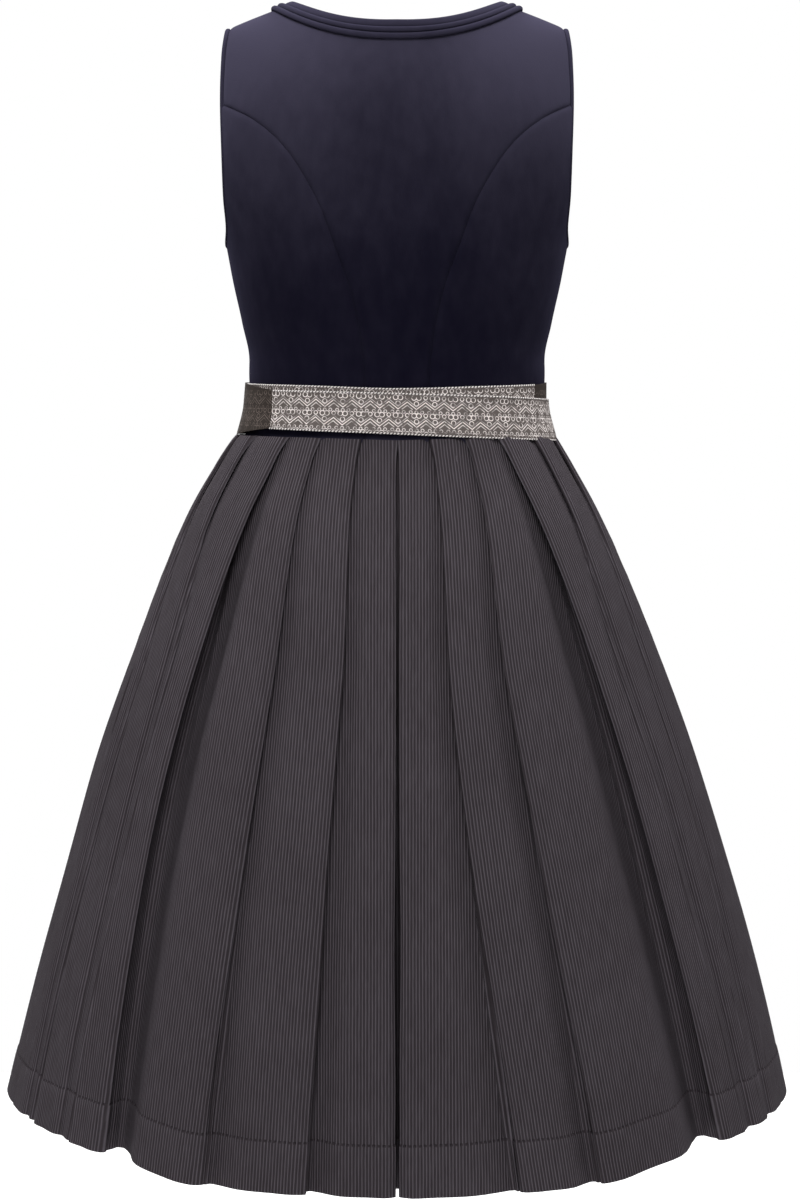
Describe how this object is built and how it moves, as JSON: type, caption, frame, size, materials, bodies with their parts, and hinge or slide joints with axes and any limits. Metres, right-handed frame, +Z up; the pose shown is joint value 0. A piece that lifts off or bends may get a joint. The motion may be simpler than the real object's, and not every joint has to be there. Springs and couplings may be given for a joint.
{
  "type": "dirndl with apron",
  "caption": "Sleeveless folk dress worn hollow: princess-seamed bodice, corded round neck, knife-pleated skirt, apron with waistband and wrapped tie belt.",
  "frame": {"origin": "midway between the two shoulders, where the wearer holds the dress up", "axes": "+Z up, the front of the dress faces -Y, +X towards the wearer's left"},
  "size_m": [0.694, 0.6609, 0.9842],
  "materials": {
    "velvet": "deep navy cotton velvet, soft sheen at the turning edges",
    "velvet_trim": "navy velvet band, cords and piping",
    "ribbed_cloth": "charcoal fine ribbed cloth, matt with a faint sheen on the ribs",
    "silver_jacquard": "silver-grey jacquard, satin lines on a darker ground",
    "taupe_jacquard": "taupe-brown jacquard, satin",
    "apron_cloth": "taupe satin-striped apron cloth",
    "button_metal": "antique silver"
  },
  "bodies": {
    "root": {"back": "velvet", "side_back_left": "velvet", "side_back_right": "velvet", "side_front_left": "velvet", "side_front_right": "velvet", "front_left": "velvet", "front_right": "velvet", "front_placket": "velvet", "neck_band": "velvet_trim", "neck_cord_inner": "velvet_trim", "neck_cord_outer": "velvet_trim", "armhole_piping_left": "velvet_trim", "armhole_piping_right": "velvet_trim", "button_1": "button_metal", "button_2": "button_metal", "button_3": "button_metal", "button_4": "button_metal", "button_5": "button_metal", "button_6": "button_metal", "button_7": "button_metal", "skirt_back": "ribbed_cloth", "skirt_front": "ribbed_cloth", "apron": "apron_cloth", "apron_waistband": "taupe_jacquard", "tie_over": "silver_jacquard", "tie_under": "silver_jacquard", "bow_knot": "silver_jacquard", "bow_loop_left": "silver_jacquard", "bow_loop_right": "silver_jacquard", "tie_end_left": "silver_jacquard", "tie_end_right": "silver_jacquard"}
  },
  "joints": []
}
